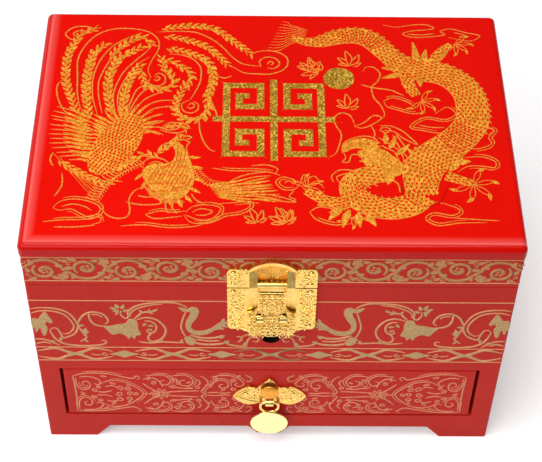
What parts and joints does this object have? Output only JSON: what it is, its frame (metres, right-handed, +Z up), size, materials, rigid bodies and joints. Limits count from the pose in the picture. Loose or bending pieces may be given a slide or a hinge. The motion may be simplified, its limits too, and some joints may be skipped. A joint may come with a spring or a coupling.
{
  "type": "jewelry box",
  "caption": "Lacquered jewelry box with a hinged mirror lid and hasp lock, a lift-out tray over an upper compartment, and a drawer with a drop pull.",
  "frame": {"origin": "middle of the whole closed box on the surface that it stands on", "axes": "+X to the right as seen from the front, +Y to the back, +Z up; the lock and the drawer face -Y"},
  "size_m": [0.3, 0.2116, 0.202],
  "materials": {
    "red_lacquer": "glossy red lacquer with gold line ornament on the lid, front and sides",
    "inner_wood": "satin red stain",
    "brass_fittings": "polished and embossed, warm gold",
    "red_velvet": "short pile velvet",
    "velvet_covered_board": "thin board covered with red velvet",
    "mirror": "silvered glass"
  },
  "bodies": {
    "case": {"side_left": "red_lacquer", "side_right": "red_lacquer", "front_board": "red_lacquer", "front_rail": "red_lacquer", "back_board": "red_lacquer", "middle_shelf": "inner_wood", "bottom_panel": "inner_wood", "drawer_runners": "inner_wood", "tray_ledges": "inner_wood", "case_lining": "red_velvet", "case_hinge_leaves": "brass_fittings", "hinge_pins": "brass_fittings", "case_hinge_screws": "brass_fittings", "lower_lock_plate": "brass_fittings", "lock_staples": "brass_fittings", "lower_plate_pins": "brass_fittings", "drawer_stop": "inner_wood"},
    "lid": {"lid_top": "red_lacquer", "lid_front": "red_lacquer", "lid_left": "red_lacquer", "lid_right": "red_lacquer", "lid_back": "red_lacquer", "lid_lining": "red_velvet", "mirror_frame": "red_lacquer", "mirror_glass": "mirror", "lid_hinge_leaves": "brass_fittings", "lid_hinge_screws": "brass_fittings", "upper_lock_plate": "brass_fittings", "upper_plate_pins": "brass_fittings", "hasp_pin": "brass_fittings"},
    "hasp": {"hasp": "brass_fittings"},
    "tray": {"tray_front": "velvet_covered_board", "tray_back": "velvet_covered_board", "tray_left": "velvet_covered_board", "tray_right": "velvet_covered_board", "tray_floor": "velvet_covered_board", "tray_cross_divider": "velvet_covered_board", "tray_long_divider": "velvet_covered_board", "tray_short_divider": "velvet_covered_board", "ring_rolls": "red_velvet"},
    "drawer": {"drawer_front": "red_lacquer", "drawer_left": "inner_wood", "drawer_right": "inner_wood", "drawer_back": "inner_wood", "drawer_bottom": "inner_wood", "drawer_lining": "red_velvet", "drawer_dividers": "velvet_covered_board", "pull_plate": "brass_fittings", "pull_plate_pins": "brass_fittings", "pull_post": "brass_fittings", "pull_nut": "brass_fittings"},
    "pull": {"pull_ring": "brass_fittings", "pull_disc": "brass_fittings"}
  },
  "joints": [
    {"name": "lid_hinge", "type": "hinge", "parent": "case", "child": "lid", "pos_m": [0, 0.1018, 0.1652], "axis": [-1, 0, 0], "range_deg": [0, 100]},
    {"name": "hasp_pivot", "type": "hinge", "parent": "lid", "child": "hasp", "pos_m": [0, -0.1023, 0.1715], "axis": [-1, 0, 0], "range_deg": [0, 160]},
    {"name": "tray_lift", "type": "slide", "parent": "case", "child": "tray", "axis": [0, 0, 1], "range_m": [0, 0.024]},
    {"name": "drawer_slide", "type": "slide", "parent": "case", "child": "drawer", "axis": [0, -1, 0], "range_m": [0, 0.14]},
    {"name": "pull_swing", "type": "hinge", "parent": "drawer", "child": "pull", "pos_m": [0, -0.1024, 0.0465], "axis": [-1, 0, 0], "range_deg": [0, 150]}
  ]
}
